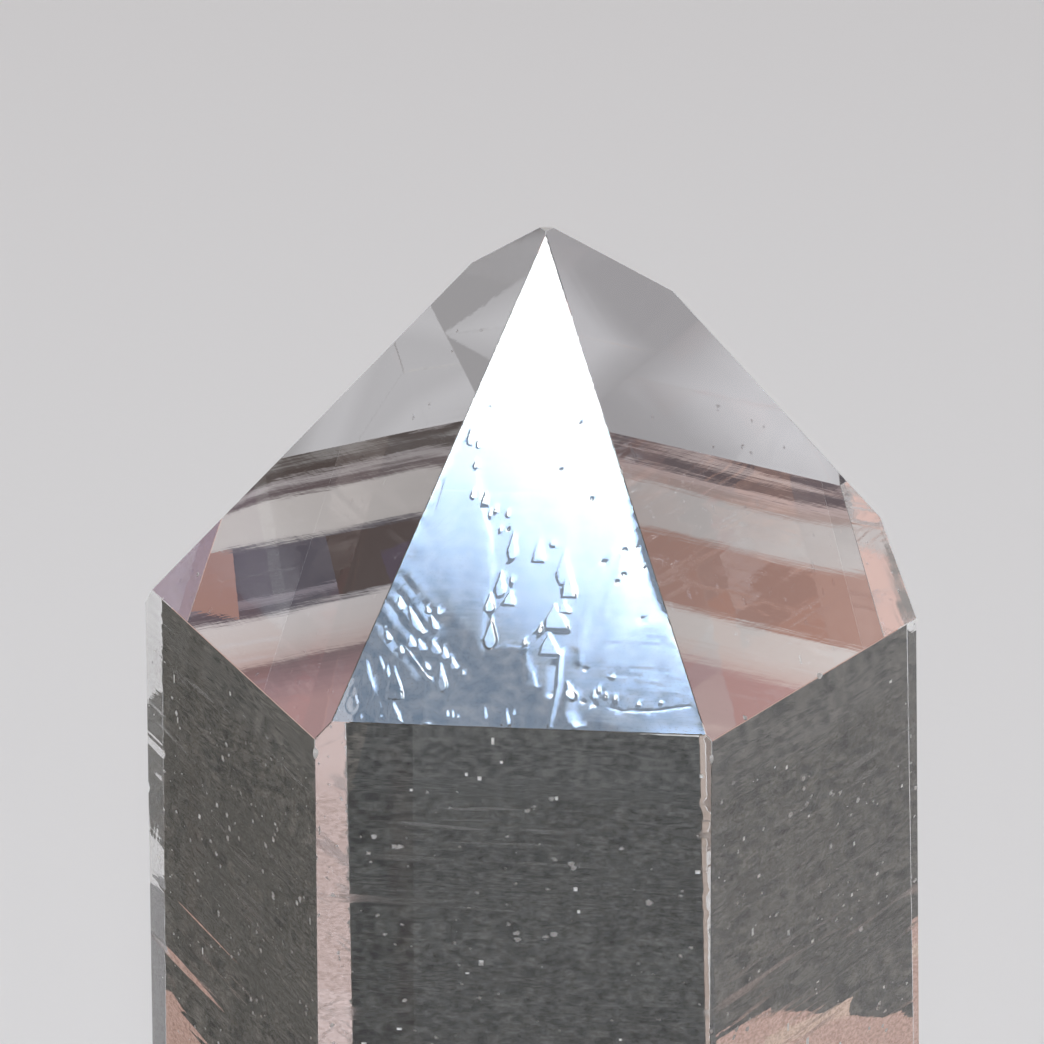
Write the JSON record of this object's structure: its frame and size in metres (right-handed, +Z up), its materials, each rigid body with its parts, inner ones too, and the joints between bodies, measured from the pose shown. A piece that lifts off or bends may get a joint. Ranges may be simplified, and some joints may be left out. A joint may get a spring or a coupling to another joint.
{
  "type": "quartz crystal",
  "caption": "Clear natural quartz point: a hexagonal prism with a faceted tip, growth marks on its faces and a flat cut foot to stand on.",
  "frame": {"origin": "middle of the bounding box on the flat cut foot", "axes": "+Z up along the crystal's long axis to its tip, -Y out of the front, where the small triangular face of the point is"},
  "size_m": [0.0346, 0.032, 0.0774],
  "materials": {
    "clear_quartz": "natural crystal faces, glossy, with fine growth lines"
  },
  "bodies": {
    "root": {"quartz_crystal": "clear_quartz"}
  },
  "joints": []
}
